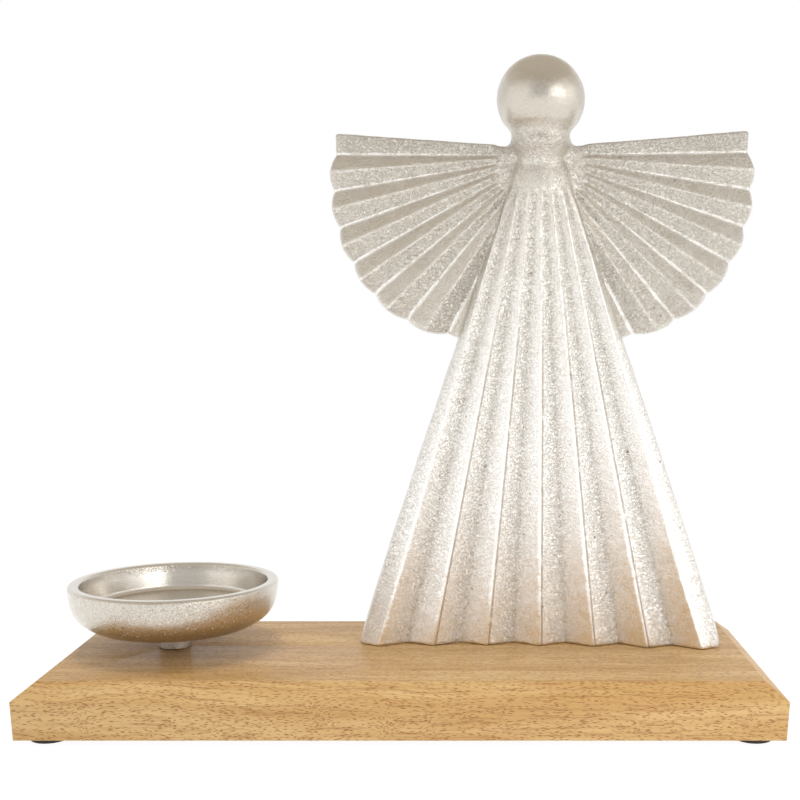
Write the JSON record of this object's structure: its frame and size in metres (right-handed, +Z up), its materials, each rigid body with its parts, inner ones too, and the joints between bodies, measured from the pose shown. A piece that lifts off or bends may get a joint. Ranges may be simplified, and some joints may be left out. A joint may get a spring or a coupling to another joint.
{
  "type": "angel candle holder",
  "caption": "Cast angel with fan-pleated wings and robe beside a round cast candle dish, both screwed to a chamfered wooden board on round pads.",
  "frame": {"origin": "on the surface that the pads stand on, under the middle of the board", "axes": "+X along the board to the viewer's right, towards the angel; +Y away from the viewer; +Z up"},
  "size_m": [0.36, 0.14, 0.332],
  "materials": {
    "board_wood": "satin varnish over light wood with short darker flecks along the grain",
    "angel_metal": "rough cast, nickel toned, with polished ridges",
    "dish_metal": "cast, with a brushed well, a polished rim and a pitted outside",
    "pad_rubber": "matt dark rubber",
    "screw_steel": "bright zinc plate"
  },
  "bodies": {
    "root": {"wood_board": "board_wood", "angel_casting": "angel_metal", "candle_dish": "dish_metal", "foot_pad_front_left": "pad_rubber", "foot_pad_front_right": "pad_rubber", "foot_pad_back_left": "pad_rubber", "foot_pad_back_right": "pad_rubber", "angel_screw_left": "screw_steel", "angel_screw_right": "screw_steel", "dish_screw": "screw_steel", "angel_washer_left": "screw_steel", "angel_washer_right": "screw_steel", "dish_washer": "screw_steel"}
  },
  "joints": []
}
